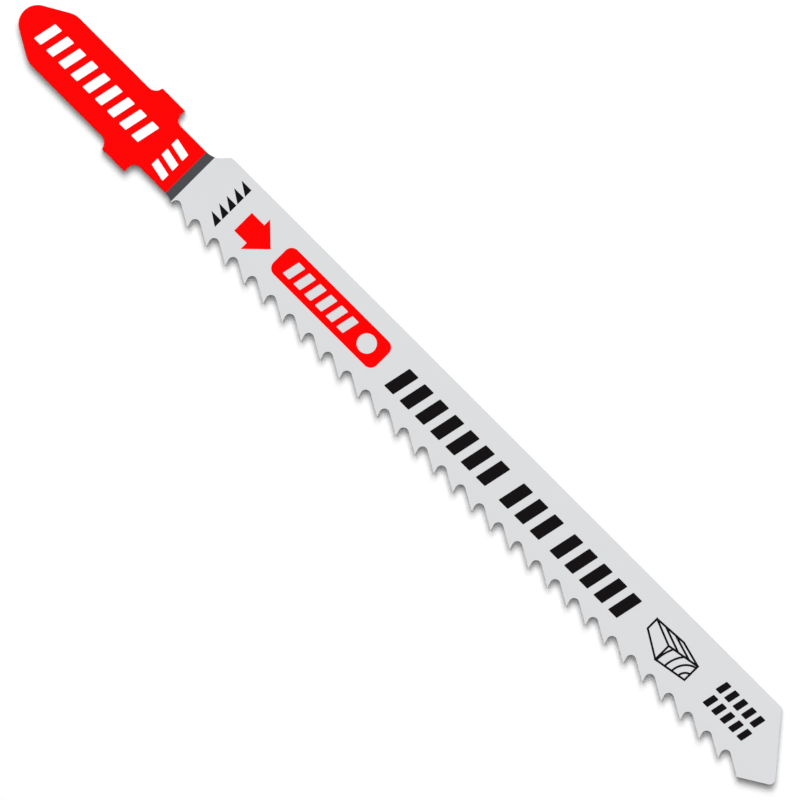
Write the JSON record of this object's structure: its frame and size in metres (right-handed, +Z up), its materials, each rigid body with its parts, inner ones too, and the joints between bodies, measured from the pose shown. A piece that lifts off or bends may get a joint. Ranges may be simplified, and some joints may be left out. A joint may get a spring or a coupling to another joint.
{
  "type": "jigsaw blade",
  "caption": "Reverse-cut jigsaw blade with a T-shank, unset ground teeth pointing to the nose, a plain back edge and a slanted nose.",
  "frame": {"origin": "on the shank's centreline and its lower face, level with the lugs' front corners", "axes": "+X along the blade from the shank's tip to the nose, +Y to the plain back edge with the teeth at -Y, +Z up out of the printed side of the blade as it lies flat"},
  "size_m": [0.1004, 0.008, 0.0013],
  "materials": {
    "light_grey_coat": "thin satin light-grey coat over hardened steel, on the toothed body",
    "red_coat": "satin bright red coat, on the shank, the lugs and most of the neck",
    "dark_band": "satin dark-grey band across the neck, between the red and the light grey",
    "ground_steel": "bare steel with fine grinding lines, in the gullets and on the tooth edges",
    "black_ink": "black pad-printed marks on the light-grey coat",
    "white_ink": "white pad-printed marks on the red coat"
  },
  "bodies": {
    "root": {"blade": "light_grey_coat"}
  },
  "joints": []
}
